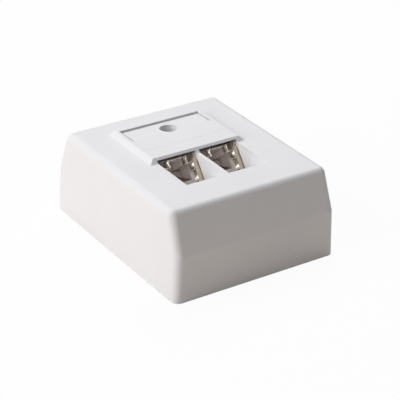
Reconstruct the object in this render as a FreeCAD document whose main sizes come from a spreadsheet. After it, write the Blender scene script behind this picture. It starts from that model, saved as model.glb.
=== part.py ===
"""Surface mount jack box with two shielded modular jacks under a moulded hood.

Millimetres, +Z up. The box lies on its back: the wall side is the plane z = 0, the origin is the
centre of that side, and the jacks look up and towards -Y. A base plate carries a sheet steel tray,
the tray carries a circuit board, and the board carries the jacks and the terminal blocks. One
captive screw pulls the hood down on the base.

Every driving dimension is a cell of the sheet, and every sketch and feature is bound to it.
"""
import FreeCAD
import Part
import math
import os
from types import SimpleNamespace

import Sketcher

SIZES = {
    # Hood, the moulded cover
    "hood_width": 65.6,
    "hood_depth": 80.0,
    "hood_height": 31.7,
    "break_height": 17.1,       # above it the front and back walls lean inwards
    "front_inset": 0.33,        # inset of the front and back walls at the break
    "front_taper": 5.7,         # inset of the front and back walls at the top
    "side_inset": 1.0,          # inset of the side walls at the top
    "wall": 2.0,
    "top_wall": 2.2,
    "corner_radius": 2.8,
    "top_radius": 2.6,
    "mark_spacing": 24.6,       # between the two round sink marks on the front wall
    "mark_height": 7.7,
    "mark_radius": 1.0,
    "mark_depth": 0.12,
    "seat_width": 3.2,          # block on the inside of a wall that sits on the base's rim
    "seat_height": 3.2,
    "knockout_width": 34.0,     # scored panel in the back wall, for a surface duct
    "knockout_height": 13.0,
    "score_width": 0.8,
    "score_depth": 1.3,
    # Raised platform on the hood, which carries the label cover
    "platform_width": 38.7,
    "platform_length": 27.35,
    "platform_room": 15.5,      # behind the platform, to the back of the hood
    "platform_rise": 1.6,
    "platform_flank": 1.65,
    "platform_heel": 0.5,
    # Label cover, a snapped-in plate with a finger ramp
    "cover_width": 32.9,
    "cover_length": 17.25,
    "cover_margin": 2.25,       # from the cover's back edge to the platform's
    "cover_thickness": 1.5,
    "ramp_length": 8.0,
    "ramp_drop": 0.55,
    "cover_seam": 0.06,
    "pry_slot": 0.7,
    "access_radius": 3.25,
    # Hood screw and its well
    "screw_margin": 7.9,        # from the screw's axis to the platform's back edge
    "well_wall": 1.5,
    "well_seat": 24.0,
    "well_floor": 2.0,
    "screw_radius": 1.5,
    "screw_head_radius": 2.8,
    "screw_head_height": 2.2,
    "screw_length": 12.0,
    "screw_hole_gap": 0.25,
    "thread_gap": 0.05,
    "drive_width": 0.8,
    "drive_depth": 1.2,
    "drive_share": 0.62,        # reach of the cross drive's arms over the head's radius
    "rounding_share": 0.33,     # rounding of a head's edge over its height
    # Ports
    "port_spacing": 17.0,
    "port_lean": 39.2,          # degrees, from the wall side to the plug's axis
    "pocket_width": 15.75,
    "pocket_length": 12.12,     # from the port line down the slope to the pocket's front wall
    "pocket_wall": 1.5,
    "lip_drop": 0.75,           # height of the platform's sloping edge over the ports
    "relief_depth": 3.4,        # room under the lip for the jack's upper edge
    "part_gap": 0.3,            # between the hood and what it covers
    # Jacks
    "jack_width": 15.6,
    "jack_face": 12.4,
    "jack_depth": 14.8,
    "shield_sheet": 0.25,
    "shield_fit": 0.05,
    "mouth_width": 11.8,
    "mouth_top": 2.9,
    "mouth_floor": 10.4,
    "mouth_depth": 12.5,
    "notch_width": 6.3,
    "notch_top": 0.6,
    "frame_edge": 0.2,          # housing that shows between the mouth and the shield's face
    "window_top": 5.6,
    "window_length": 2.7,
    "window_depth": 4.3,
    "leaf_depth": 2.4,
    "leaf_top": 3.3,
    "leaf_length": 2.0,
    "notch_tab_depth": 1.4,
    # Contact carrier and its wires
    "carrier_gap": 0.15,
    "carrier_shelf": 1.4,
    "carrier_back": 2.1,
    "carrier_top": 3.4,
    "carrier_margin": 0.5,
    "wire_count": 8,
    "wire_spacing": 1.02,
    "wire_radius": 0.2,
    "wire_start": 1.7,
    "wire_rise": 3.2,
    "wire_gap": 0.1,            # behind the wire's end
    "wire_seat_gap": 0.05,      # under the wire's front end
    # Circuit board
    "board_width": 37.0,
    "board_length": 41.5,
    "board_gap": 2.2,           # from the board's back edge to the cable clamps
    "board_thickness": 1.6,
    "board_screw_spacing": 31.0,
    "board_screw_inset": 2.3,   # from the board's front and back edges
    "small_radius": 1.2,
    "small_head_radius": 1.95,
    "small_head_height": 1.4,
    "small_length": 4.5,
    # Tray
    "tray_width": 52.0,
    "tray_length": 57.4,
    "tray_room": 4.6,           # behind the tray, to the back of the hood
    "tray_sheet": 0.8,
    "tray_flange": 6.0,
    "flange_length": 40.0,
    "tray_notch": 7.8,
    "tray_notch_length": 8.6,
    "standoff_radius": 2.6,
    "standoff_height": 2.2,
    "tray_screw_spacing": 43.8,
    "tray_screw_front": 4.0,    # from the tray's front edge
    "tray_screw_back": 11.4,    # from the tray's back edge
    "tray_screw_radius": 1.45,
    "tray_head_radius": 2.6,
    "tray_head_height": 1.7,
    "tray_screw_length": 4.2,
    # Base plate
    "base_gap": 0.35,
    "base_floor": 2.4,
    "rim_height": 6.4,
    "rim_wall": 1.6,
    "post_height": 6.0,
    "post_radius": 3.0,
    "boss_radius": 3.2,
    "boss_room": 0.8,
    "entry_width": 18.0,
    "entry_length": 10.0,
    "entry_offset": 15.0,
    "entry_room": 9.5,          # from the middle of the entries to the front of the hood
    "wall_hole_inset": 10.0,    # leaves 60 between the slots, as on a flush box
    "wall_hole_radius": 2.1,
    "wall_slot_length": 8.0,
    # Terminal blocks
    "terminal_offset": 11.0,
    "terminal_width": 12.2,
    "terminal_room": 10.4,      # from the middle of a block to the board's back edge
    "terminal_length": 12.0,
    "terminal_height": 9.4,
    "terminal_count": 4,
    "terminal_spacing": 2.9,
    "terminal_reach": 3.4,      # from the block's middle to each row of blades
    "slot_width": 0.9,
    "slot_depth": 5.6,
    "channel_width": 2.2,       # between the two rows of towers
    "blade_sheet": 0.5,
    "blade_width": 2.0,
    "blade_height": 6.6,
    "blade_slit": 0.4,
    "blade_gap": 0.1,
    # Cable clamps
    "clamp_offset": 12.0,
    "clamp_room": 5.8,          # behind the clamps, to the back of the hood
    "clamp_length": 5.0,
    "clamp_sheet": 0.8,
    "cable_radius": 2.9,
    "clamp_screw_reach": 5.8,
    "clamp_ear": 2.0,
}


class Size:
    """A number together with the sheet expression that gives it."""

    def __init__(self, value, text):
        self.value = float(value)
        self.text = text

    def __add__(self, other):
        other = as_size(other)
        return Size(self.value + other.value, f"({self.text} + {other.text})")

    def __sub__(self, other):
        other = as_size(other)
        return Size(self.value - other.value, f"({self.text} - {other.text})")

    def __mul__(self, other):
        other = as_size(other)
        return Size(self.value * other.value, f"({self.text} * {other.text})")

    def __truediv__(self, other):
        other = as_size(other)
        return Size(self.value / other.value, f"({self.text} / {other.text})")

    def __neg__(self):
        return Size(-self.value, f"(-1 * {self.text})")


def as_size(item):
    """A plain number, or a Size as it is."""
    if isinstance(item, Size):
        return item
    return Size(item, repr(item))


def sine(angle):
    return Size(math.sin(math.radians(angle.value)), f"sin({angle.text} * 1 deg)")


def cosine(angle):
    return Size(math.cos(math.radians(angle.value)), f"cos({angle.text} * 1 deg)")


doc = FreeCAD.newDocument("jack_box")
sheet = doc.addObject("Spreadsheet::Sheet", "sizes")
size = SimpleNamespace()
for row, (name, value) in enumerate(SIZES.items(), start=1):
    sheet.set(f"A{row}", name)
    sheet.set(f"B{row}", str(value))
    sheet.setAlias(f"B{row}", name)
    setattr(size, name, Size(value, f"sizes.{name}"))


def worked_out(name, result):
    """Keep a derived length in the sheet too, so that expressions stay short."""
    row = worked_out.row
    worked_out.row += 1
    sheet.set(f"D{row}", name)
    sheet.set(f"E{row}", "=" + result.text.replace("sizes.", ""))
    sheet.setAlias(f"E{row}", name)
    return Size(result.value, f"sizes.{name}")


worked_out.row = 1


# ---------------------------------------------------------------- helpers for the bodies

def new_body(label):
    """An empty body whose label names its file."""
    body = doc.addObject("PartDesign::Body", label)
    body.Label = label
    body.AllowCompound = True
    body.Placement = FreeCAD.Placement()
    return body


def shift_body(body, across):
    """Place a body sideways, as for a left or right copy."""
    body.Placement = FreeCAD.Placement(FreeCAD.Vector(across.value, 0, 0), FreeCAD.Rotation())
    body.setExpression("Placement.Base.x", across.text)


def origin_plane(body, role):
    for feature in body.Origin.OriginFeatures:
        if feature.Role == role:
            return feature
    raise RuntimeError(f"{body.Label} has no {role}")


def rectangle(left, right, low, high):
    return [(left, low), (right, low), (right, high), (left, high)]


def bind_constraint(sketch, kind, corner, result):
    """Tie one coordinate of a sketch point, or a radius, to its size."""
    result = as_size(result)
    index = sketch.addConstraint(Sketcher.Constraint(kind, *corner, result.value))
    sketch.setExpression(f"Constraints[{index}]", result.text)


def draw_outline(sketch, corners):
    """A closed outline of straight edges, each corner bound to the sheet."""
    first = sketch.GeometryCount
    count = len(corners)
    places = [FreeCAD.Vector(as_size(x).value, as_size(y).value, 0) for x, y in corners]
    for index in range(count):
        sketch.addGeometry(Part.LineSegment(places[index], places[(index + 1) % count]), False)
    for index in range(count):
        following = first + (index + 1) % count
        sketch.addConstraint(Sketcher.Constraint("Coincident", first + index, 2, following, 1))
    for index, (x, y) in enumerate(corners):
        bind_constraint(sketch, "DistanceX", (-1, 1, first + index, 1), x)
        bind_constraint(sketch, "DistanceY", (-1, 1, first + index, 1), y)


def draw_circle(sketch, x, y, radius):
    """A circle with its centre and radius bound to the sheet."""
    index = sketch.GeometryCount
    centre = FreeCAD.Vector(as_size(x).value, as_size(y).value, 0)
    circle = Part.Circle(centre, FreeCAD.Vector(0, 0, 1), as_size(radius).value)
    sketch.addGeometry(circle, False)
    bind_constraint(sketch, "DistanceX", (-1, 1, index, 3), x)
    bind_constraint(sketch, "DistanceY", (-1, 1, index, 3), y)
    bind_constraint(sketch, "Radius", (index,), radius)


def new_sketch(body, name, plane, base, tilt, outlines, circles):
    """A sketch on one of the body's origin planes, moved by base and tilted about X."""
    sketch = body.newObject("Sketcher::SketchObject", name + "_sketch")
    sketch.AttachmentSupport = [(origin_plane(body, plane), "")]
    sketch.MapMode = "FlatFace"
    base = [as_size(part) for part in base]
    turn = FreeCAD.Rotation(FreeCAD.Vector(1, 0, 0), tilt.value if tilt else 0)
    sketch.AttachmentOffset = FreeCAD.Placement(FreeCAD.Vector(*[b.value for b in base]), turn)
    for letter, part in zip("xyz", base):
        sketch.setExpression(f"AttachmentOffset.Base.{letter}", part.text)
    if tilt:
        sketch.setExpression("AttachmentOffset.Rotation.Angle", tilt.text)
    for corners in outlines:
        draw_outline(sketch, corners)
    for x, y, radius in circles:
        draw_circle(sketch, x, y, radius)
    return sketch


def extrude(body, name, sketch, length, cut):
    """Pad or pocket a sketch along its own normal."""
    kind = "PartDesign::Pocket" if cut else "PartDesign::Pad"
    feature = body.newObject(kind, name)
    feature.Profile = sketch
    feature.Length = length.value
    feature.setExpression("Length", length.text)
    feature.Reversed = cut
    sketch.Visibility = False
    return feature


def prism(body, name, plane, start, end, outlines=(), circles=(), cut=False):
    """Straight material, or a straight cut, between two coordinates on the plane's normal."""
    start = as_size(start)
    end = as_size(end)
    # The XZ plane's own normal is -Y, so a prism between two depths starts at the deeper one.
    lift = -end if plane == "XZ_Plane" else start
    sketch = new_sketch(body, name, plane, (0, 0, lift), None, outlines, circles)
    return extrude(body, name, sketch, end - start, cut)


def slanted_prism(body, name, near, far, outlines=(), circles=(), cut=False):
    """A prism square to the port face, between two depths behind it.

    Its outline is drawn across the face, with distances down the slope counted as minus y.
    """
    near = as_size(near)
    far = as_size(far)
    base = (0, port_point(0, far).across, port_point(0, far).up)
    sketch = new_sketch(body, name, "XY_Plane", base, port_tilt, outlines, circles)
    return extrude(body, name, sketch, far - near, cut)


def loft(body, name, sections, cut=False):
    """Straight-sided material between rectangles at several heights.

    The highest one is the profile, because a loft that starts there faces the right way out.
    """
    sketches = []
    for index, (height, corners) in enumerate(reversed(sections)):
        label = f"{name}_{index}"
        sketches.append(new_sketch(body, label, "XY_Plane", (0, 0, height), None, [corners], []))
    kind = "PartDesign::SubtractiveLoft" if cut else "PartDesign::AdditiveLoft"
    feature = body.newObject(kind, name)
    feature.Profile = sketches[0]
    feature.Sections = sketches[1:]
    feature.Ruled = True
    for sketch in sketches:
        sketch.Visibility = False
    return feature


def fillet(body, name, radius, wanted):
    """Round those edges of the body so far that wanted says."""
    doc.recompute()
    base = body.Tip
    edges = [f"Edge{n}" for n, edge in enumerate(base.Shape.Edges, start=1) if wanted(edge)]
    feature = body.newObject("PartDesign::Fillet", name)
    feature.Base = (base, edges)
    feature.Radius = radius.value
    feature.setExpression("Radius", radius.text)
    return feature


def lies_at_height(edge, height):
    return max(abs(vertex.Z - height.value) for vertex in edge.Vertexes) < 0.001


def stands_up(edge):
    """True for an edge that climbs more than it runs sideways."""
    box = edge.BoundBox
    return box.ZLength > max(box.XLength, box.YLength)


# ---------------------------------------------------------------- the port's own axes

port_tilt = worked_out("port_tilt", Size(90, "90") - size.port_lean)
lean_sine = worked_out("lean_sine", sine(size.port_lean))
lean_cosine = worked_out("lean_cosine", cosine(size.port_lean))
half_depth = worked_out("half_depth", size.hood_depth / 2)
platform_back = worked_out("platform_back", half_depth - size.platform_room)
platform_front = worked_out("platform_front", platform_back - size.platform_length)
# The lip over the ports is the platform's upper front edge.
lip_line = worked_out("lip_line", platform_front + size.platform_flank)
port_height = worked_out("port_height", size.hood_height - size.part_gap)


def port_point(down, deep):
    """Y and Z of a point that lies down the port's slope and deep behind its face."""
    down = as_size(down)
    deep = as_size(deep)
    across = lip_line - lean_sine * down + lean_cosine * deep
    up = port_height - lean_cosine * down - lean_sine * deep
    return SimpleNamespace(across=across, up=up)


def on_slope(down, up):
    """Y where the line at one distance down the slope passes a height."""
    return lip_line - (as_size(down) + lean_cosine * (up - port_height)) / lean_sine


def on_face(deep, up):
    """Y where the plane at one depth behind the port face passes a height."""
    return lip_line + (as_size(deep) + lean_sine * (up - port_height)) / lean_cosine


def height_on_slope(down, across):
    """Z of the line at one distance down the slope, above a Y."""
    return port_height - (as_size(down) + lean_sine * (across - lip_line)) / lean_cosine


def height_on_face(deep, across):
    """Z of the plane at one depth behind the port face, above a Y."""
    return port_height + (lean_cosine * (across - lip_line) - as_size(deep)) / lean_sine


# ---------------------------------------------------------------- shared levels and lines

platform_top = worked_out("platform_top", size.hood_height + size.platform_rise)
ceiling = worked_out("ceiling", size.hood_height - size.top_wall)
tray_top = worked_out("tray_top", size.post_height + size.tray_sheet)
board_bottom = worked_out("board_bottom", tray_top + size.standoff_height)
board_top = worked_out("board_top", board_bottom + size.board_thickness)
port_offset = worked_out("port_offset", size.port_spacing / 2)
base_half_width = worked_out("base_half_width", size.hood_width / 2 - size.wall - size.base_gap)
base_half_depth = worked_out("base_half_depth", half_depth - size.wall - size.base_gap)
boss_top = worked_out("boss_top", size.well_seat - size.well_floor - size.part_gap)
screw_tip = worked_out("screw_tip", size.well_seat - size.screw_length)
jack_back = worked_out("jack_back", port_point(0, size.jack_depth).across)
jack_front = worked_out("jack_front", port_point(size.jack_face, 0).across)
cover_back = worked_out("cover_back", platform_back - size.cover_margin)
cover_front = worked_out("cover_front", cover_back - size.cover_length)
screw_line = worked_out("screw_line", platform_back - size.screw_margin)
clamp_back = worked_out("clamp_back", half_depth - size.clamp_room)
clamp_front = worked_out("clamp_front", clamp_back - size.clamp_length)
clamp_line = worked_out("clamp_line", (clamp_front + clamp_back) / 2)
tray_back = worked_out("tray_back", half_depth - size.tray_room)
tray_front = worked_out("tray_front", tray_back - size.tray_length)
board_back = worked_out("board_back", clamp_front - size.board_gap)
board_front = worked_out("board_front", board_back - size.board_length)
terminal_line = worked_out("terminal_line", board_back - size.terminal_room)
entry_line = worked_out("entry_line", size.entry_room - half_depth)
wall_hole_line = worked_out("wall_hole_line", half_depth - size.wall_hole_inset)

BOTH = (-1, 1)
SIDES = {"left": -1, "right": 1}

board_screws = [
    (size.board_screw_spacing / 2 * side, line)
    for side in BOTH
    for line in (board_front + size.board_screw_inset, board_back - size.board_screw_inset)
]
tray_screws = [
    (size.tray_screw_spacing / 2 * side, line)
    for side in BOTH
    for line in (tray_front + size.tray_screw_front, tray_back - size.tray_screw_back)
]
clamp_screws = [
    (size.clamp_offset * side + size.clamp_screw_reach * end, clamp_line)
    for side in BOTH
    for end in BOTH
]


# ---------------------------------------------------------------- hood

def outer_half_depth(height):
    """Half the hood's depth above the break, where its front and back walls lean inwards."""
    share = (height - size.break_height) / (size.hood_height - size.break_height)
    lean = (size.front_taper - size.front_inset) * share
    return half_depth - size.front_inset - lean


def outer_half_width(height):
    return size.hood_width / 2 - size.side_inset * (height / size.hood_height)


def centred(half_width, half_depth):
    return rectangle(-half_width, half_width, -half_depth, half_depth)


def hood_form(body):
    """The outside of the hood, with its rounded corners and top edge, and the hollow in it."""
    levels = (Size(0, "0"), size.break_height, size.hood_height)
    depths = (half_depth, outer_half_depth(size.break_height), outer_half_depth(size.hood_height))
    outside = [(level, centred(outer_half_width(level), depth))
               for level, depth in zip(levels, depths)]
    loft(body, "outside", outside)
    fillet(body, "corners", size.corner_radius, stands_up)
    fillet(body, "top_edge", size.top_radius, lambda edge: lies_at_height(edge, size.hood_height))
    levels = (Size(0, "0"), size.break_height, ceiling)
    depths = (depths[0], depths[1], outer_half_depth(ceiling))
    inside = [(level, centred(outer_half_width(level) - size.wall, depth - size.wall))
              for level, depth in zip(levels, depths)]
    loft(body, "inside", inside, cut=True)


def hood_platform(body):
    half = size.platform_width / 2
    foot = rectangle(-half, half, platform_front, platform_back)
    top = rectangle(size.platform_flank - half, half - size.platform_flank,
                    lip_line, platform_back - size.platform_heel)
    loft(body, "platform", [(size.hood_height, foot), (platform_top, top)])
    half = size.cover_width / 2 + size.cover_seam
    recess = rectangle(-half, half, cover_front - size.cover_seam, cover_back + size.pry_slot)
    prism(body, "label_recess", "XY_Plane", platform_top - size.cover_thickness, platform_top,
          [recess], cut=True)


def hood_pockets(body):
    """A slanted pocket over each jack, with its own walls under the top of the hood."""
    gap = -size.part_gap
    outer = size.pocket_length + size.pocket_wall
    root = ceiling + size.top_wall / 2
    block = [(on_slope(outer, root), root),
             (port_point(outer, gap).across, port_point(outer, gap).up),
             (on_face(gap, root), root)]
    reach = port_offset + size.pocket_width / 2
    prism(body, "pocket_walls", "YZ_Plane", -reach - size.pocket_wall, reach + size.pocket_wall,
          [block])
    above = platform_top + size.platform_rise
    nose = lip_line - size.lip_drop * size.platform_flank / size.platform_rise
    under = platform_top - size.lip_drop
    behind = lip_line + size.relief_depth
    below = ceiling - size.top_wall
    room = [(on_slope(size.pocket_length, above), above),
            (nose, above),
            (nose, under),
            (behind, under),
            (behind, below),
            (port_point(size.pocket_length, size.pocket_wall).across,
             port_point(size.pocket_length, size.pocket_wall).up)]
    for name, side in SIDES.items():
        middle = port_offset * side
        prism(body, f"pocket_{name}", "YZ_Plane", middle - size.pocket_width / 2,
              middle + size.pocket_width / 2, [room], cut=True)


def hood_screw_well(body):
    spot = (0, screw_line)
    under = size.well_seat - size.well_floor
    prism(body, "well", "XY_Plane", under, ceiling + size.top_wall / 2,
          circles=[(*spot, size.access_radius + size.well_wall)])
    prism(body, "well_bore", "XY_Plane", size.well_seat, platform_top,
          circles=[(*spot, size.access_radius)], cut=True)
    prism(body, "screw_hole", "XY_Plane", under, size.well_seat,
          circles=[(*spot, size.screw_radius + size.screw_hole_gap)], cut=True)


def hood_details(body):
    """Seats that meet the base's rim, faint sink marks outside them, and the scored panel."""
    marks = [size.mark_spacing / 2 * side for side in BOTH]
    low = size.rim_height + size.part_gap
    seats = [rectangle(mark - size.seat_width / 2, mark + size.seat_width / 2,
                       low, low + size.seat_height)
             for mark in marks]
    buried = half_depth - size.wall / 2 - size.front_inset
    shown = base_half_depth - size.rim_wall
    prism(body, "front_seats", "XZ_Plane", -buried, -shown, seats)
    prism(body, "back_seats", "XZ_Plane", shown, buried, seats)
    share = size.mark_height / size.break_height
    face = size.front_inset * share - half_depth
    prism(body, "sink_marks", "XZ_Plane", face - size.wall, face + size.mark_depth,
          circles=[(mark, size.mark_height, size.mark_radius) for mark in marks], cut=True)
    half = size.knockout_width / 2
    inside = half_depth - size.wall
    score = [(-half, 0), (-half, size.knockout_height), (half, size.knockout_height), (half, 0),
             (half - size.score_width, 0),
             (half - size.score_width, size.knockout_height - size.score_width),
             (size.score_width - half, size.knockout_height - size.score_width),
             (size.score_width - half, 0)]
    prism(body, "knockout_score", "XZ_Plane", inside - size.wall, inside + size.score_depth,
          [score], cut=True)


def make_hood():
    body = new_body("hood")
    hood_form(body)
    hood_platform(body)
    hood_pockets(body)
    hood_screw_well(body)
    hood_details(body)
    return body


def make_label_cover():
    """A plate flush with the platform, whose back end ramps down to a pry slot."""
    body = new_body("label_cover")
    half = size.cover_width / 2
    under = platform_top - size.cover_thickness
    ramp = cover_back - size.ramp_length
    side = [(cover_front, under), (cover_back, under),
            (cover_back, platform_top - size.ramp_drop), (ramp, platform_top),
            (cover_front, platform_top)]
    prism(body, "plate", "YZ_Plane", -half, half, [side])
    slits = [rectangle(half - size.pry_slot, half, ramp, cover_back),
             rectangle(-half, size.pry_slot - half, ramp, cover_back)]
    prism(body, "side_slits", "XY_Plane", under, platform_top, slits, cut=True)
    prism(body, "screw_access", "XY_Plane", under, platform_top,
          circles=[(0, screw_line, size.access_radius)], cut=True)
    return body


# ---------------------------------------------------------------- screws

def cross_slots(x, y, half, width):
    """The two arms of a cross drive about one centre."""
    arm = width / 2
    return (rectangle(x - half, x + half, y - arm, y + arm),
            rectangle(x - arm, x + arm, y - half, y + half))


def make_screws(label, spots, seat, radius, length, head_radius, head_height):
    """Cross-head screws that stand on one seat and point down, all in one node."""
    body = new_body(label)
    top = seat + head_height
    prism(body, "heads", "XY_Plane", seat, top, circles=[(*spot, head_radius) for spot in spots])
    fillet(body, "head_edges", head_height * size.rounding_share,
           lambda edge: lies_at_height(edge, top))
    prism(body, "shanks", "XY_Plane", seat - length, seat,
          circles=[(*spot, radius) for spot in spots])
    half = head_radius * size.drive_share
    arms = [cross_slots(as_size(x), as_size(y), half, size.drive_width) for x, y in spots]
    for index, name in enumerate(("drive_across", "drive_along")):
        prism(body, name, "XY_Plane", top - size.drive_depth, top,
              [pair[index] for pair in arms], cut=True)
    return body


# ---------------------------------------------------------------- base plate and tray

def make_base_plate():
    """Moulded wall plate with a rim, the boss for the hood screw and posts for the tray."""
    body = new_body("base_plate")
    floor = centred(base_half_width, base_half_depth)
    prism(body, "floor", "XY_Plane", 0, size.base_floor, [floor])
    inner = centred(base_half_width - size.rim_wall, base_half_depth - size.rim_wall)
    prism(body, "rim", "XY_Plane", size.base_floor, size.rim_height, [floor, inner])
    boss = (0, screw_line)
    prism(body, "boss", "XY_Plane", size.base_floor, boss_top,
          circles=[(*boss, size.boss_radius)])
    prism(body, "boss_bore", "XY_Plane", screw_tip - size.well_floor, boss_top,
          circles=[(*boss, size.screw_radius + size.thread_gap)], cut=True)
    prism(body, "posts", "XY_Plane", size.base_floor, size.post_height,
          circles=[(*spot, size.post_radius) for spot in tray_screws])
    depth = size.tray_screw_length - size.tray_sheet + size.part_gap
    prism(body, "post_bores", "XY_Plane", size.post_height - depth, size.post_height,
          circles=[(*spot, size.tray_screw_radius + size.thread_gap) for spot in tray_screws],
          cut=True)
    entries = []
    for side in BOTH:
        middle = size.entry_offset * side
        entries.append(rectangle(middle - size.entry_width / 2, middle + size.entry_width / 2,
                                 entry_line - size.entry_length / 2,
                                 entry_line + size.entry_length / 2))
    prism(body, "cable_entries", "XY_Plane", 0, size.base_floor, entries, cut=True)
    reach = size.wall_slot_length / 2 - size.wall_hole_radius
    lines = [wall_hole_line * side for side in BOTH]
    slots = [rectangle(-size.wall_hole_radius, size.wall_hole_radius, line - reach, line + reach)
             for line in lines]
    ends = [(0, line + reach * end, size.wall_hole_radius) for line in lines for end in BOTH]
    prism(body, "wall_slots", "XY_Plane", 0, size.base_floor, slots, cut=True)
    prism(body, "wall_slot_ends", "XY_Plane", 0, size.base_floor, circles=ends[0::2], cut=True)
    prism(body, "wall_slot_tails", "XY_Plane", 0, size.base_floor, circles=ends[1::2], cut=True)
    return body


def make_tray():
    """Folded steel tray that holds the board and clamps the cables."""
    body = new_body("module_tray")
    half = size.tray_width / 2
    notch = size.tray_notch / 2
    notch_end = tray_back - size.tray_notch_length
    sheet_outline = [(-half, tray_front), (half, tray_front), (half, tray_back),
                     (notch, tray_back), (notch, notch_end), (-notch, notch_end),
                     (-notch, tray_back), (-half, tray_back)]
    boss = (0, screw_line, size.boss_radius + size.boss_room)
    fixings = [(*spot, size.tray_screw_radius + size.screw_hole_gap) for spot in tray_screws]
    pilots = [(*spot, size.small_radius + size.thread_gap) for spot in clamp_screws]
    prism(body, "sheet", "XY_Plane", size.post_height, tray_top, [sheet_outline],
          [boss] + fixings + pilots)
    flange_top = size.post_height + size.tray_flange
    for name, side in SIDES.items():
        edges = (half * side, (half - size.tray_sheet) * side)
        left, right = edges if side < 0 else edges[::-1]
        flange = rectangle(left, right, tray_front, tray_front + size.flange_length)
        prism(body, f"flange_{name}", "XY_Plane", tray_top, flange_top, [flange])
    prism(body, "standoffs", "XY_Plane", tray_top, board_bottom,
          circles=[(*spot, size.standoff_radius) for spot in board_screws])
    prism(body, "standoff_bores", "XY_Plane", size.post_height, board_bottom,
          circles=[(*spot, size.small_radius + size.thread_gap) for spot in board_screws],
          cut=True)
    return body


def make_board():
    body = new_body("circuit_board")
    half = size.board_width / 2
    plate = rectangle(-half, half, board_front, board_back)
    holes = [(*spot, size.small_radius + size.screw_hole_gap) for spot in board_screws]
    boss = (0, screw_line, size.boss_radius + size.boss_room)
    prism(body, "laminate", "XY_Plane", board_bottom, board_top, [plate], holes + [boss])
    return body


# ---------------------------------------------------------------- jacks

def jack_profile(inset):
    """Side outline of a jack that looks up the slope and stands on the board."""
    inset = as_size(inset)
    back = jack_back - inset
    front = jack_front + inset
    return [(port_point(inset, inset).across, port_point(inset, inset).up),
            (back, height_on_slope(inset, back)),
            (back, board_top),
            (front, board_top),
            (front, height_on_face(inset, front))]


def mouth_outline(margin):
    """The plug's opening: a wide mouth with a latch notch above it, larger by a margin."""
    half_mouth = size.mouth_width / 2 + margin
    half_notch = size.notch_width / 2 + margin
    floor = -size.mouth_floor - margin
    ledge = -size.mouth_top + margin
    top = -size.notch_top + margin
    return [(-half_mouth, floor), (half_mouth, floor), (half_mouth, ledge), (half_notch, ledge),
            (half_notch, top), (-half_notch, top), (-half_notch, ledge), (-half_mouth, ledge)]


def make_jack_housing(label, across):
    """Moulded body of one jack, with the mouth, the latch notch and a window in each side."""
    body = new_body(label)
    inset = size.shield_sheet + size.shield_fit
    half = size.jack_width / 2 - inset
    prism(body, "block", "YZ_Plane", -half, half, [jack_profile(inset)])
    half_mouth = size.mouth_width / 2
    slanted_prism(body, "mouth", 0, size.mouth_depth, [mouth_outline(0)], cut=True)
    window = rectangle(-half, half, -size.window_top - size.window_length, -size.window_top)
    slanted_prism(body, "side_windows", 0, size.window_depth, [window], cut=True)
    rooms = [rectangle(half_mouth * side - size.shield_sheet, half_mouth * side + size.shield_sheet,
                       -low, -high)
             for side in BOTH
             for high, low in leaf_spans(size.shield_fit)]
    slanted_prism(body, "leaf_rooms", 0, size.leaf_depth + size.shield_fit, rooms, cut=True)
    shift_body(body, across)
    return body


def leaf_spans(margin):
    """Upper and lower spring leaf of the shield, as spans down the slope."""
    lower = size.window_top + size.window_length
    return ((size.leaf_top - margin, size.leaf_top + size.leaf_length + margin),
            (lower - margin, size.mouth_floor))


def make_jack_shield(label, across):
    """Folded shell round a jack, open below, whose front frame turns into the mouth as springs."""
    body = new_body(label)
    half = size.jack_width / 2
    sheet_gap = size.shield_sheet
    prism(body, "shell", "YZ_Plane", -half, half, [jack_profile(0)])
    inner = jack_profile(sheet_gap)
    prism(body, "room", "YZ_Plane", sheet_gap - half, half - sheet_gap, [inner], cut=True)
    half_mouth = size.mouth_width / 2
    frame = half_mouth + size.frame_edge
    slanted_prism(body, "frame_window", 0, sheet_gap, [mouth_outline(size.frame_edge)], cut=True)
    leaf_in = half_mouth - size.shield_fit
    leaf_out = leaf_in + sheet_gap
    leaves = []
    lips = []
    for high, low in leaf_spans(0):
        leaves.append(rectangle(leaf_in, leaf_out, -low, -high))
        leaves.append(rectangle(-leaf_out, -leaf_in, -low, -high))
        lips.append(rectangle(leaf_in, frame + sheet_gap, -low, -high))
        lips.append(rectangle(-frame - sheet_gap, -leaf_in, -low, -high))
    slanted_prism(body, "spring_folds", 0, sheet_gap, lips)
    slanted_prism(body, "springs", 0, size.leaf_depth, leaves)
    tab_out = size.notch_width / 2 - size.shield_fit
    tabs = [rectangle(tab_out - sheet_gap, tab_out, -size.mouth_top, -size.notch_top),
            rectangle(-tab_out, sheet_gap - tab_out, -size.mouth_top, -size.notch_top)]
    hooks = [rectangle(tab_out - sheet_gap, tab_out, -size.mouth_top, 0),
             rectangle(-tab_out, sheet_gap - tab_out, -size.mouth_top, 0)]
    slanted_prism(body, "notch_hooks", 0, sheet_gap, hooks)
    slanted_prism(body, "notch_tabs", 0, size.notch_tab_depth, tabs)
    shift_body(body, across)
    return body


def carrier_shelf_top():
    return size.mouth_floor - size.carrier_gap - size.carrier_shelf


def carrier_back_face():
    return size.mouth_depth - size.carrier_gap - size.carrier_back


def make_contact_carrier(label, across):
    """Insert on the floor of the mouth that guides the contact wires into its back comb."""
    body = new_body(label)
    half = size.mouth_width / 2 - size.carrier_margin
    shelf = carrier_shelf_top()
    face = carrier_back_face()
    low = size.mouth_floor - size.carrier_gap
    back = size.mouth_depth - size.carrier_gap
    front = size.carrier_margin + size.carrier_gap
    side = [(shelf, front), (shelf, face), (size.carrier_top, face), (size.carrier_top, back),
            (low, back), (low, front)]
    corners = [(port_point(down, deep).across, port_point(down, deep).up) for down, deep in side]
    prism(body, "insert", "YZ_Plane", -half, half, [corners])
    shift_body(body, across)
    return body


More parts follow.
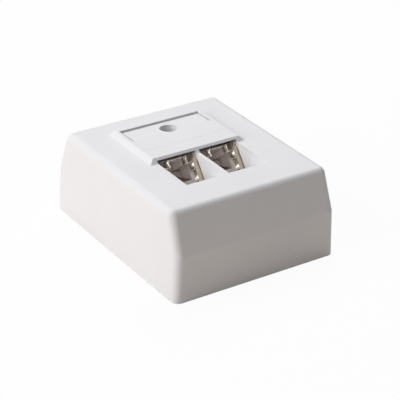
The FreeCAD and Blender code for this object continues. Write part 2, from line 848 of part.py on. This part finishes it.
def make_contact_wires(label, across):
    """Spring wires that rise from the carrier's front edge to its back comb."""
    body = new_body(label)
    start = size.wire_start
    end = carrier_back_face() - size.wire_radius - size.wire_gap
    low = carrier_shelf_top() - size.wire_radius - size.wire_seat_gap
    run = end - start
    slope = size.wire_rise / run
    length = Size(math.hypot(run.value, size.wire_rise.value),
                  f"sqrt({run.text} * {run.text} + {size.wire_rise.text} * {size.wire_rise.text})")
    climb = Size(math.degrees(math.atan(slope.value)), f"(atan({slope.text}) / 1 deg)")
    far = port_point(low - size.wire_rise, end)
    middle = (size.wire_count - 1) / 2
    circles = [(size.wire_spacing * (as_size(index) - middle), 0, size.wire_radius)
               for index in range(int(SIZES["wire_count"]))]
    sketch = new_sketch(body, "wires", "XY_Plane", (0, far.across, far.up), port_tilt + climb,
                        [], circles)
    extrude(body, "wires", sketch, length, False)
    shift_body(body, across)
    return body


# ---------------------------------------------------------------- terminals

def terminal_lines():
    """Y of each pair of terminals along a block."""
    middle = (size.terminal_count - 1) / 2
    return [terminal_line + size.terminal_spacing * (as_size(index) - middle)
            for index in range(int(SIZES["terminal_count"]))]


def make_terminal_block(label, across):
    """Two rows of slotted towers: each slot takes a wire, each cross slot a blade."""
    body = new_body(label)
    half = size.terminal_width / 2
    reach = size.terminal_length / 2
    top = board_top + size.terminal_height
    prism(body, "block", "XY_Plane", board_top, top,
          [rectangle(-half, half, terminal_line - reach, terminal_line + reach)])
    channel = size.channel_width / 2
    prism(body, "channel", "XY_Plane", top - size.slot_depth, top,
          [rectangle(-channel, channel, terminal_line - reach, terminal_line + reach)],
          cut=True)
    wire = size.slot_width / 2
    slots = [rectangle(-half, half, line - wire, line + wire) for line in terminal_lines()]
    prism(body, "wire_slots", "XY_Plane", top - size.slot_depth, top, slots, cut=True)
    thick = size.blade_sheet / 2 + size.blade_gap
    wide = size.blade_width / 2 + size.blade_gap
    wells = [rectangle(size.terminal_reach * row - thick, size.terminal_reach * row + thick,
                       line - wide, line + wide)
             for row in BOTH for line in terminal_lines()]
    prism(body, "blade_wells", "XY_Plane", top - size.blade_height - size.blade_gap, top, wells,
          cut=True)
    shift_body(body, across)
    return body


def make_terminal_blades(label, across):
    """Forked blades, one in each well, whose slits grip the wires."""
    body = new_body(label)
    top = board_top + size.terminal_height - size.blade_gap
    bottom = top - size.blade_height
    thick = size.blade_sheet / 2
    wide = size.blade_width / 2
    plates = [rectangle(size.terminal_reach * row - thick, size.terminal_reach * row + thick,
                        line - wide, line + wide)
              for row in BOTH for line in terminal_lines()]
    prism(body, "blades", "XY_Plane", bottom, top, plates)
    half = size.terminal_width / 2
    slit = size.blade_slit / 2
    slits = [rectangle(-half, half, line - slit, line + slit) for line in terminal_lines()]
    prism(body, "slits", "XY_Plane", top - size.slot_depth + size.slot_width, top, slits,
          cut=True)
    shift_body(body, across)
    return body


# ---------------------------------------------------------------- cable clamps

def make_cable_clamp(label, across):
    """Bent strap that presses a cable's screen on the tray, screwed down at both ears."""
    body = new_body(label)
    outer = size.cable_radius + size.clamp_sheet
    ear = size.clamp_screw_reach + size.clamp_ear
    spring = tray_top + size.cable_radius
    ear_top = tray_top + size.clamp_sheet
    span = (clamp_front, clamp_back)
    prism(body, "arch", "XZ_Plane", *span, circles=[(0, spring, outer)])
    prism(body, "flat_foot", "XZ_Plane", *span, [rectangle(-outer, outer, 0, tray_top)], cut=True)
    prism(body, "legs", "XZ_Plane", *span, [rectangle(-outer, outer, tray_top, spring)])
    prism(body, "ears", "XZ_Plane", *span, [rectangle(-ear, ear, tray_top, ear_top)])
    inner = rectangle(-size.cable_radius, size.cable_radius, tray_top, spring)
    prism(body, "throat", "XZ_Plane", *span, [inner], cut=True)
    prism(body, "crown", "XZ_Plane", *span, circles=[(0, spring, size.cable_radius)], cut=True)
    holes = [(size.clamp_screw_reach * end, clamp_line, size.small_radius + size.screw_hole_gap)
             for end in BOTH]
    prism(body, "screw_holes", "XY_Plane", tray_top, ear_top, circles=holes, cut=True)
    shift_body(body, across)
    return body


# ---------------------------------------------------------------- build, check and write

def make_all():
    bodies = [make_base_plate(), make_tray(), make_board(), make_hood(), make_label_cover()]
    bodies.append(make_screws("hood_screw", [(0, screw_line)], size.well_seat,
                              size.screw_radius, size.screw_length, size.screw_head_radius,
                              size.screw_head_height))
    bodies.append(make_screws("tray_screws", tray_screws, tray_top, size.tray_screw_radius,
                              size.tray_screw_length, size.tray_head_radius,
                              size.tray_head_height))
    bodies.append(make_screws("board_screws", board_screws, board_top, size.small_radius,
                              size.small_length, size.small_head_radius,
                              size.small_head_height))
    bodies.append(make_screws("clamp_screws", clamp_screws, tray_top + size.clamp_sheet,
                              size.small_radius, size.clamp_sheet + size.tray_sheet,
                              size.small_head_radius, size.small_head_height))
    for name, side in SIDES.items():
        port = port_offset * side
        terminal = size.terminal_offset * side
        bodies.append(make_jack_housing(f"jack_housing_{name}", port))
        bodies.append(make_jack_shield(f"jack_shield_{name}", port))
        bodies.append(make_contact_carrier(f"contact_carrier_{name}", port))
        bodies.append(make_contact_wires(f"contact_wires_{name}", port))
        bodies.append(make_terminal_block(f"terminal_block_{name}", terminal))
        bodies.append(make_terminal_blades(f"terminal_blades_{name}", terminal))
        bodies.append(make_cable_clamp(f"cable_clamp_{name}", size.clamp_offset * side))
    return bodies


def check(bodies):
    """Stop before anything is written if a feature failed or a solid is not sound."""
    for item in doc.Objects:
        if {"Invalid", "Error"} & set(item.State):
            raise RuntimeError(f"{item.Name} failed: {item.State}")
    for body in bodies:
        if body.Shape.isNull() or not body.Shape.isValid() or not body.Shape.Solids:
            raise RuntimeError(f"{body.Label} has no sound solid")


def main():
    bodies = make_all()
    doc.recompute()
    check(bodies)
    os.makedirs("parts", exist_ok=True)
    for body in bodies:
        body.Shape.exportStep(f"parts/{body.Label}.step")
        box = body.Shape.BoundBox
        print(f"{body.Label}: {len(body.Shape.Solids)} solid(s), {body.Shape.Volume:.1f} mm3, "
              f"x {box.XMin:.2f}..{box.XMax:.2f}, y {box.YMin:.2f}..{box.YMax:.2f}, "
              f"z {box.ZMin:.2f}..{box.ZMax:.2f}")


main()
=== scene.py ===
# %% [markdown]
# # A surface mount jack box
#
# The construction arrives with every piece at its size and place. This script gives the pieces
# their finish, small edge roundings and the bent spring tongues of the jacks. The real box is a
# white moulded hood over a wall base, with two shielded modular jacks that look out of slanted
# pockets. Everything here is in metres, and +Z points away from the wall side, on which the box
# lies.

# %% Load the construction
import math

import bmesh
import bpy
from mathutils import Matrix, Vector


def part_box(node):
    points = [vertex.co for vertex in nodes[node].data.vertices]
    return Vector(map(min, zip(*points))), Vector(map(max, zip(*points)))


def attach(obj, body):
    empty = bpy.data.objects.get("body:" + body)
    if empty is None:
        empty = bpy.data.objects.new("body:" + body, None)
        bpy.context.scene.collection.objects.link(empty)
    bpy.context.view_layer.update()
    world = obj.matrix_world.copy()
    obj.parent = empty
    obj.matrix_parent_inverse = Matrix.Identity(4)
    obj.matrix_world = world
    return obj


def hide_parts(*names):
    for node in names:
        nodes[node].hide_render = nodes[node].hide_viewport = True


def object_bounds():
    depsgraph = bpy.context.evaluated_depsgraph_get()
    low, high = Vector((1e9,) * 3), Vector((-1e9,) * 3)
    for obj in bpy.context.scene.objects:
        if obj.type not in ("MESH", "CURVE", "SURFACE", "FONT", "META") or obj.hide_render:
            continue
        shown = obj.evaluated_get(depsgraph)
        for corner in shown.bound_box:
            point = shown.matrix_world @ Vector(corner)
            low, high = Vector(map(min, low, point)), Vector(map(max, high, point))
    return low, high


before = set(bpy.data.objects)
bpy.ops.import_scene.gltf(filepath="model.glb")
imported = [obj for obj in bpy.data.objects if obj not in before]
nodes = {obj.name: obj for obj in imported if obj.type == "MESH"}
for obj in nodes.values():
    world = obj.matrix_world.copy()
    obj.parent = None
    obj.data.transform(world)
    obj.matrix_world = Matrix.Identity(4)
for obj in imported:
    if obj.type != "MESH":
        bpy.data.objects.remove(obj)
cad_low, cad_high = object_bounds()
MM = 0.001
print("pieces:", len(nodes), "box in mm:", [round(v / MM, 1) for v in cad_high - cad_low])

# %% [markdown]
# ## Edges that were moulded, not cut
#
# A mould has no perfectly sharp edge, and it is the thin bright line on each edge that tells the
# eye "plastic". The construction has its large roundings already. The small ones are made here: a
# copy of a piece is merged into one skin, its flat faces are joined up, and its sharp straight
# edges are bevelled with bmesh. The copy then stands for the piece, at the same place and size.

# %% A helper for small edge roundings


def show(mesh, name, body, *stands_for):
    """Make an object of a mesh, let it ride on a body and stand for some pieces."""
    piece = bpy.data.objects.new(name, mesh)
    bpy.context.scene.collection.objects.link(piece)
    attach(piece, body)
    if stands_for:
        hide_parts(*stands_for)
    return piece


NEAR_SEAM = 0.3 * MM
RAMP_ROOM = 9.0 * MM  # from the cover's back end forwards, where its ramp and slits are
SHARP_BEND = math.radians(40)
SOFT_BEND = math.radians(28)
FLAT_BEND = math.radians(1.5)
WIDE_FACE = 3.0 * MM * MM


def in_seam(point):
    """True along the cover's front and side seams, which close tight and stay sharp."""
    low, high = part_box("label_cover")
    beside = low.x - NEAR_SEAM < point.x < high.x + NEAR_SEAM
    in_front = low.y - NEAR_SEAM < point.y < high.y - RAMP_ROOM
    return beside and in_front and point.z > low.z - NEAR_SEAM


def eased(name, body, radius, least_length):
    """A copy of a piece whose long sharp edges are rounded a little."""
    work = bmesh.new()
    work.from_mesh(nodes[name].data)
    bmesh.ops.remove_doubles(work, verts=work.verts, dist=0.002 * MM)
    bmesh.ops.dissolve_limit(work, angle_limit=math.radians(0.3), verts=work.verts,
                             edges=work.edges)
    chosen = [edge for edge in work.edges
              if edge.is_manifold and edge.calc_length() > least_length
              and edge.calc_face_angle() > SHARP_BEND
              and not in_seam((edge.verts[0].co + edge.verts[1].co) / 2)]
    bmesh.ops.bevel(work, geom=chosen, offset=radius, offset_type="OFFSET", segments=3,
                    profile=0.5, affect="EDGES", clamp_overlap=True, material=-1)
    for face in work.faces:
        face.smooth = True
    for edge in work.edges:
        if edge.is_manifold:
            between_flats = min(face.calc_area() for face in edge.link_faces) > WIDE_FACE
            edge.smooth = edge.calc_face_angle() < (FLAT_BEND if between_flats else SOFT_BEND)
    mesh = bpy.data.meshes.new(name + "_eased")
    work.to_mesh(mesh)
    work.free()
    print(name, "rounded edges:", len(chosen), "faces:", len(mesh.polygons))
    piece = show(mesh, name + "_eased", body, name)
    flat_shading = piece.modifiers.new("flats_stay_flat", "WEIGHTED_NORMAL")
    flat_shading.weight = 90
    flat_shading.keep_sharp = True
    return piece


hood = eased("hood", "hood", 0.2 * MM, 1.0 * MM)
cover = eased("label_cover", "label_cover", 0.15 * MM, 0.6 * MM)

# %% [markdown]
# ## Small tools for materials
#
# Hex colours are what a colour picker gives. They are sRGB, and a shader wants linear values, so one
# function turns them. One more function adds a node with its settings and links, because every
# material below is a short chain of such nodes, and another blends two colours by a pattern.

# %% Colour and node helpers


def linear(hex_colour):
    """An sRGB hex colour as the linear RGBA that a shader takes."""
    channels = [int(hex_colour[index:index + 2], 16) / 255 for index in (1, 3, 5)]
    return [c / 12.92 if c <= 0.04045 else ((c + 0.055) / 1.055) ** 2.4 for c in channels] + [1.0]


def add(tree, kind, links=(), inputs=(), **settings):
    """Add a node: settings are its properties, inputs its values, links its incoming wires."""
    node = tree.nodes.new(kind)
    for key, value in settings.items():
        setattr(node, key, value)
    for socket, value in dict(inputs).items():
        node.inputs[socket].default_value = value
    for socket, source in dict(links).items():
        tree.links.new(source, node.inputs[socket])
    return node


def blend(tree, factor, light, dark):
    """A colour between two hex colours, as a pattern's value goes from 0 to 1."""
    mix = add(tree, "ShaderNodeMix", {"Factor": factor}, data_type="RGBA")
    mix.inputs["A"].default_value = linear(light)
    mix.inputs["B"].default_value = linear(dark)
    return mix.outputs["Result"]


def repeats(size_mm):
    """Pattern scale that gives one repeat per size_mm on coordinates in metres."""
    return 1.0 / (size_mm * MM)


def new_material(name, **values):
    """A material with a Principled shader whose plain values are set on its own sockets."""
    material = bpy.data.materials.new(name)
    material.use_nodes = True
    tree = material.node_tree
    shader = tree.nodes["Principled BSDF"]
    for socket, value in values.items():
        shader.inputs[socket.replace("_", " ")].default_value = value
    place = add(tree, "ShaderNodeTexCoord").outputs["Object"]
    return material, tree, shader, place


def dress(names, material):
    """Give a material to construction pieces or to pieces made here."""
    for name in names:
        piece = nodes.get(name) if isinstance(name, str) else name
        piece.data.materials.clear()
        piece.data.materials.append(material)


print("linear mid grey:", [round(c, 3) for c in linear("#808080")])

# %% [markdown]
# ## The hood's plastic
#
# White ABS, injection moulded in a tool with a fine spark-eroded texture. The grain is only a few
# thousandths of a millimetre deep, so the face looks evenly matt, but the highlight on each rounding
# breaks up softly. Gloss and colour drift very slightly, as the flow of the plastic leaves them.

# %% White ABS


def moulded(name, light, dark, grain_mm, grain_depth_mm, rough_low, rough_high, flow_mm):
    """Moulded plastic: slow colour drift, uneven gloss and a spark-eroded grain."""
    material, tree, shader, place = new_material(name, IOR=1.54)
    flow = add(tree, "ShaderNodeTexNoise", {"Vector": place},
               {"Scale": repeats(flow_mm), "Detail": 3.0, "Roughness": 0.55})
    tree.links.new(blend(tree, flow.outputs["Fac"], light, dark), shader.inputs["Base Color"])
    grain = add(tree, "ShaderNodeTexNoise", {"Vector": place},
                {"Scale": repeats(grain_mm), "Detail": 2.0, "Roughness": 0.6})
    gloss = add(tree, "ShaderNodeMapRange", {"Value": flow.outputs["Fac"]},
                {"From Min": 0.3, "From Max": 0.7, "To Min": rough_low, "To Max": rough_high})
    tree.links.new(gloss.outputs["Result"], shader.inputs["Roughness"])
    bump = add(tree, "ShaderNodeBump", {"Height": grain.outputs["Fac"]},
               {"Strength": 1.0, "Distance": grain_depth_mm * MM})
    tree.links.new(bump.outputs["Normal"], shader.inputs["Normal"])
    return material


white_abs = moulded("white_abs_spark_eroded", "#E9E9EB", "#E6E6E9", grain_mm=0.35,
                    grain_depth_mm=0.006, rough_low=0.5, rough_high=0.58, flow_mm=22.0)
base_abs = moulded("white_abs_plain", "#E6E6E8", "#E2E2E5", grain_mm=0.5,
                   grain_depth_mm=0.004, rough_low=0.36, rough_high=0.46, flow_mm=16.0)
dress([hood, cover], white_abs)
dress(["base_plate"], base_abs)

# %% [markdown]
# ## The jack's plastics
#
# The jack bodies are glass-filled PBT of a warm grey, which shows a faint swirl of fibres and a
# satin skin. Their mouths are deep and get little light, so their colour here is painted much paler
# than that grey: painted light, which brightens the mouths that the lamps hardly reach. The carriers
# of the contact wires are a mid grey of the same kind, also a little lighter than their own grey, as
# painted light. The terminal blocks are natural LCP, an ivory plastic whose flow leaves a faint
# drift of colour.

# %% Grey PBT and natural LCP
# Painted light: the jack bodies' pale colour stands in for light that their deep mouths lack.
paled_pbt_painted_light = moulded("grey_pbt_glass_filled", "#F8EFEC", "#EAE0DC", grain_mm=0.8,
                   grain_depth_mm=0.008, rough_low=0.34, rough_high=0.5, flow_mm=3.0)
natural_lcp = moulded("natural_lcp", "#D8D3C4", "#CBC5B4", grain_mm=0.6,
                      grain_depth_mm=0.008, rough_low=0.4, rough_high=0.55, flow_mm=4.0)
# Painted light: the carriers' grey is a little lighter than their own, to lift the shaded mouths.
carrier_pbt = moulded("mid_grey_pbt_glass_filled", "#B4A9A6", "#A0958F", grain_mm=0.8,
                      grain_depth_mm=0.008, rough_low=0.4, rough_high=0.55, flow_mm=3.0)
sides = ("left", "right")
dress([f"jack_housing_{side}" for side in sides], paled_pbt_painted_light)
dress([f"contact_carrier_{side}" for side in sides], carrier_pbt)
dress([f"terminal_block_{side}" for side in sides], natural_lcp)

# %% [markdown]
# ## Metals
#
# The shells round the jacks are nickel-plated bronze sheet, rolled, so fine streaks run along the
# strip. The tray, clamps and screws are zinc-plated steel, whose passivation shows as a faint
# cloudy drift between bluish and yellowish grey. Blades are tinned, and the contact wires gilt.

# %% Sheet metal and plating
STREAK_DEPTH = 0.0006 * MM


def plated(name, light, dark, streak_mm, stretch, cloud_mm, rough_low, rough_high):
    """Plated metal: clouds in the plating and fine streaks from rolling."""
    material, tree, shader, place = new_material(name, Metallic=1.0)
    cloud = add(tree, "ShaderNodeTexNoise", {"Vector": place},
                {"Scale": repeats(cloud_mm), "Detail": 4.0, "Roughness": 0.6})
    tree.links.new(blend(tree, cloud.outputs["Fac"], light, dark), shader.inputs["Base Color"])
    along = add(tree, "ShaderNodeMapping", {"Vector": place})
    along.inputs["Scale"].default_value = stretch
    streak = add(tree, "ShaderNodeTexNoise", {"Vector": along.outputs["Vector"]},
                 {"Scale": repeats(streak_mm), "Detail": 2.0})
    gloss = add(tree, "ShaderNodeMapRange", {"Value": streak.outputs["Fac"]},
                {"From Min": 0.3, "From Max": 0.7, "To Min": rough_low, "To Max": rough_high})
    tree.links.new(gloss.outputs["Result"], shader.inputs["Roughness"])
    bump = add(tree, "ShaderNodeBump", {"Height": streak.outputs["Fac"]},
               {"Strength": 0.5, "Distance": STREAK_DEPTH})
    tree.links.new(bump.outputs["Normal"], shader.inputs["Normal"])
    return material


nickel_sheet = plated("nickel_plated_bronze", "#CFC4B4", "#BCAE9C", streak_mm=0.25,
                      stretch=(1.0, 0.08, 0.08), cloud_mm=5.0, rough_low=0.22,
                      rough_high=0.34)
zinc_steel = plated("zinc_plated_steel", "#B9BBBC", "#A6A59C", streak_mm=0.4,
                    stretch=(0.1, 1.0, 1.0), cloud_mm=7.0, rough_low=0.3,
                    rough_high=0.46)
tinned_bronze = plated("tinned_bronze", "#C9C5BC", "#B5B0A6", streak_mm=0.2,
                       stretch=(1.0, 1.0, 0.1), cloud_mm=2.0, rough_low=0.28,
                       rough_high=0.4)
gilt_wire = plated("gold_plated_wire", "#C4B490", "#AE9C74", streak_mm=0.2,
                   stretch=(1.0, 0.1, 0.1), cloud_mm=2.0, rough_low=0.18,
                   rough_high=0.28)
dress([f"jack_shield_{side}" for side in sides], nickel_sheet)
dress([f"cable_clamp_{side}" for side in sides], zinc_steel)
dress(["module_tray", "tray_screws", "board_screws", "clamp_screws", "hood_screw"], zinc_steel)
dress([f"terminal_blades_{side}" for side in sides], tinned_bronze)
dress([f"contact_wires_{side}" for side in sides], gilt_wire)

# %% [markdown]
# ## The circuit board
#
# Glass laminate under a green solder mask. The copper under the mask shows as slightly lighter,
# raised tracks. They are drawn by a Voronoi pattern of straight-sided cells, thresholded.

# %% Solder-masked laminate
board_mask, tree, shader, place = new_material("solder_masked_laminate", Roughness=0.28, IOR=1.5)
cells = add(tree, "ShaderNodeTexVoronoi", {"Vector": place}, {"Scale": repeats(2.6)},
            distance="MANHATTAN", feature="F1")
tracks = add(tree, "ShaderNodeMapRange", {"Value": cells.outputs["Distance"]},
             {"From Min": 0.42, "From Max": 0.5, "To Min": 0.0, "To Max": 1.0})
mask_tone = blend(tree, tracks.outputs["Result"], "#0E4A2A", "#1C6B3C")
tree.links.new(mask_tone, shader.inputs["Base Color"])
raised = add(tree, "ShaderNodeBump", {"Height": tracks.outputs["Result"]},
             {"Strength": 1.0, "Distance": 0.03 * MM})
tree.links.new(raised.outputs["Normal"], shader.inputs["Normal"])
dress(["circuit_board"], board_mask)
print("materials:", sorted(material.name for material in bpy.data.materials))

# %% [markdown]
# ## Spring tongues of the shields
#
# The real shells grip a plug with small tongues, bent inwards from the front face, and the edges of
# the latch notch are turned out a little. The construction has them as straight strips. It is their
# bend that catches the light in the mouth, so each one is made here as a thin bent sheet: two rows
# of points are drawn, bridge_loops spans them, and Solidify gives the sheet its thickness.

# %% Port frame and one bent sheet
# The jacks lean and reach in as the construction has them.
LEAN = math.radians(39.2)
DOWN_SLOPE = Vector((0, -math.sin(LEAN), -math.cos(LEAN)))
INTO_JACK = Vector((0, math.cos(LEAN), -math.sin(LEAN)))
JACK_DEPTH = 14.8 * MM
SHEET = 0.2 * MM


def port_origin(side):
    """Middle of the upper front edge of one shield, where distances down and into it start."""
    low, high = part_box(f"jack_shield_{side}")
    return Vector(((low.x + high.x) / 2, high.y - JACK_DEPTH * math.cos(LEAN), high.z))


def bent_sheet(name, side, hand, rows):
    """A sheet between two rows of points: millimetres across, down and into the mouth."""
    origin = port_origin(side)
    work = bmesh.new()
    for row in rows:
        points = [work.verts.new(origin + Vector((hand * across * MM, 0, 0))
                                 + DOWN_SLOPE * down * MM + INTO_JACK * deep * MM)
                  for across, down, deep in row]
        for first, second in zip(points, points[1:]):
            work.edges.new((first, second))
    bmesh.ops.bridge_loops(work, edges=work.edges[:])
    bmesh.ops.recalc_face_normals(work, faces=work.faces)
    for face in work.faces:
        face.smooth = True
    mesh = bpy.data.meshes.new(name)
    work.to_mesh(mesh)
    work.free()
    piece = show(mesh, name, "base")
    sheet = piece.modifiers.new("sheet", "SOLIDIFY")
    sheet.thickness = SHEET
    sheet.offset = 0
    return piece


# %% Tongues and turned edges in both mouths
# Each bend has points in millimetres: across from the mouth's middle, and into the jack.
UPPER_BEND = [(6.15, -0.12), (5.92, -0.02), (5.5, 0.42), (5.35, 0.9), (5.4, 1.6), (5.6, 2.4)]
LOWER_BEND = [(6.15, -0.12), (5.9, -0.02), (5.65, 0.16), (4.85, 0.8), (4.05, 1.44), (3.85, 1.8)]
# How far down the slope each tongue begins and ends.
UPPER_REACH = (3.1, 5.0)
LOWER_REACH = (7.9, 9.9)
upper_rows = [[(across, down, deep) for across, deep in UPPER_BEND] for down in UPPER_REACH]
# The lower tongue narrows to a point: its upper edge runs down as it goes in.
NARROWING = 0.85
lower_rows = [[(across, LOWER_REACH[0] + NARROWING * max(deep, 0), deep)
               for across, deep in LOWER_BEND],
              [(across, LOWER_REACH[1], deep) for across, deep in LOWER_BEND]]
# The notch's edge is turned out in a bow, wide at both ends and narrow in the middle.
notch_rows = [[(4.15, 0.35, -0.1), (3.8, 1.7, -0.1), (4.15, 3.1, -0.1)],
              [(3.15, 0.35, -0.75), (3.45, 1.7, -0.45), (3.15, 3.1, -0.75)]]
tongues = []
for side in sides:
    for hand, hand_name in ((-1, "near"), (1, "far")):
        for kind, rows in (("upper_tongue", upper_rows), ("lower_tongue", lower_rows),
                           ("notch_edge", notch_rows)):
            tongues.append(bent_sheet(f"{kind}_{side}_{hand_name}", side, hand, rows))
# The tongues' nickel is painted lighter than the shell's own plating. This is a painted highlight,
# added to the real glint of their bends.
tongue_nickel_painted_highlight = plated("nickel_spring_painted_highlight", "#F2EEE6", "#E2DCD0", streak_mm=0.25,
                       stretch=(1.0, 0.2, 0.2), cloud_mm=3.0, rough_low=0.34,
                       rough_high=0.46)
dress(tongues, tongue_nickel_painted_highlight)
print("tongues:", len(tongues))

# %% [markdown]
# ## Floor, light and camera
#
# A pale floor, a wide soft light on the left, another high behind on the right, and a weak even sky.
# The left wall and the top take the light, and the front wall lives on what the sky and the floor
# give back. Floor and sky are plain white to the eye and in gloss, and dimmer as sources of light.

# %% Floor
STAGE_HALF = 3.0
SHADOW_SHARE = 0.05  # how much of the light and shade on the floor the eye sees
FLOOR_GAP = 0.02 * MM


def flat_square(name, half):
    """A square of one face, centred on its own origin and facing up."""
    shape = bmesh.new()
    bmesh.ops.create_grid(shape, x_segments=1, y_segments=1, size=half)
    mesh = bpy.data.meshes.new(name)
    shape.to_mesh(mesh)
    shape.free()
    square = bpy.data.objects.new(name, mesh)
    bpy.context.scene.collection.objects.link(square)
    return square


def seen_or_mirrored(tree):
    """1 for rays from the eye, from gloss and through glass, and 0 for the rest."""
    path = add(tree, "ShaderNodeLightPath")
    seen = add(tree, "ShaderNodeMath", {0: path.outputs["Is Camera Ray"],
                                        1: path.outputs["Is Glossy Ray"]}, operation="MAXIMUM")
    seen = add(tree, "ShaderNodeMath", {0: seen.outputs[0],
                                        1: path.outputs["Is Transmission Ray"]},
               operation="MAXIMUM")
    return seen.outputs[0]


floor = flat_square("floor", STAGE_HALF)
floor.location = (0, 0, cad_low.z - FLOOR_GAP)

paper = bpy.data.materials.new("backdrop_paper")
paper.use_nodes = True
tree = paper.node_tree
tree.nodes.clear()
matt = add(tree, "ShaderNodeBsdfDiffuse", inputs={"Color": linear("#F2E6DC")})
bright = add(tree, "ShaderNodeBsdfDiffuse", inputs={"Color": linear("#F4F4F4")})
glow = add(tree, "ShaderNodeEmission", inputs={"Color": (1, 1, 1, 1), "Strength": 1.0})
lit = add(tree, "ShaderNodeMixShader", {1: glow.outputs[0], 2: bright.outputs[0]},
          {0: SHADOW_SHARE})
look = add(tree, "ShaderNodeMixShader", {0: seen_or_mirrored(tree), 1: matt.outputs[0],
                                         2: lit.outputs[0]})
add(tree, "ShaderNodeOutputMaterial", {"Surface": look.outputs[0]})
floor.data.materials.append(paper)

# %% World and lamps
world = bpy.data.worlds.new("studio_sky")
bpy.context.scene.world = world
world.use_nodes = True
tree = world.node_tree
tree.nodes.clear()
sky = add(tree, "ShaderNodeBackground", inputs={"Color": (1.0, 0.99, 0.98, 1.0), "Strength": 0.15})
white = add(tree, "ShaderNodeBackground", inputs={"Color": (1, 1, 1, 1), "Strength": 1.0})
both = add(tree, "ShaderNodeMixShader", {0: seen_or_mirrored(tree), 1: sky.outputs[0],
                                         2: white.outputs[0]})
add(tree, "ShaderNodeOutputWorld", {"Surface": both.outputs[0]})


def soft_light(name, towards, distance, size, power):
    """A square area light that shines at the box from one direction: metres and watts."""
    lamp = bpy.data.lights.new(name, "AREA")
    lamp.shape = "SQUARE"
    lamp.size = size
    lamp.energy = power
    holder = bpy.data.objects.new(name, lamp)
    bpy.context.scene.collection.objects.link(holder)
    direction = Vector(towards).normalized()
    holder.location = direction * distance
    holder.rotation_euler = direction.to_track_quat("Z", "Y").to_euler()
    return holder


soft_light("window_light", (-0.86, 0.14, 0.5), distance=1.2, size=0.8, power=10.5)
soft_light("ceiling_light", (0.3, 0.5, 0.8), distance=1.2, size=0.8, power=7.5)

# A weak fill from the front that only the jacks take, because their mouths are deep and narrow.
fill = soft_light("jack_fill", (-0.35, -0.65, 0.7), distance=0.6, size=0.4, power=1.0)
mouths = bpy.data.collections.new("jack_mouths")
for side in sides:
    for kind in ("jack_housing", "jack_shield", "contact_carrier", "contact_wires"):
        mouths.objects.link(nodes[f"{kind}_{side}"])
for tongue in tongues:
    mouths.objects.link(tongue)
fill.light_linking.receiver_collection = mouths

# A dark card on the right, which only gloss sees, gives the jacks' metal faces their depth.
CARD_HALF = 0.16
CARD_DISTANCE = 0.45
card = flat_square("dark_card", CARD_HALF)
card_side = Vector((0.49, -0.61, 0.62)).normalized()
card.location = card_side * CARD_DISTANCE
card.rotation_euler = card_side.to_track_quat("Z", "Y").to_euler()
card.visible_camera = False
card.visible_diffuse = False
card.visible_shadow = False
card_black, *_ = new_material("black_card", Base_Color=linear("#1C1A16"), Roughness=0.9)
dress([card], card_black)

# %% Camera
DISTANCE_MM = 582.6
AIM_RIGHT_MM = 2.74
AIM_UP_MM = 10.49
turn, lift, roll = (math.radians(angle) for angle in (-33.983, 28.268, 1.387))
back = Vector((math.sin(turn) * math.cos(lift), -math.cos(turn) * math.cos(lift), math.sin(lift)))
right = Vector((math.cos(turn), math.sin(turn), 0))
up = back.cross(right)
rolled_right = right * math.cos(roll) + up * math.sin(roll)
rolled_up = up * math.cos(roll) - right * math.sin(roll)
spot = (back * DISTANCE_MM * MM + rolled_right * AIM_RIGHT_MM * MM
        + rolled_up * AIM_UP_MM * MM)

lens = bpy.data.cameras.new("camera")
lens.sensor_width = 36.0
lens.lens = 147.23
lens.clip_start = 0.01
camera = bpy.data.objects.new("camera", lens)
bpy.context.scene.collection.objects.link(camera)
camera.matrix_world = Matrix.Translation(spot) @ Matrix(
    (rolled_right, rolled_up, back)).transposed().to_4x4()
bpy.context.scene.camera = camera
bpy.context.scene.view_settings.view_transform = "Standard"
print("camera is", round(spot.length / MM), "mm away")
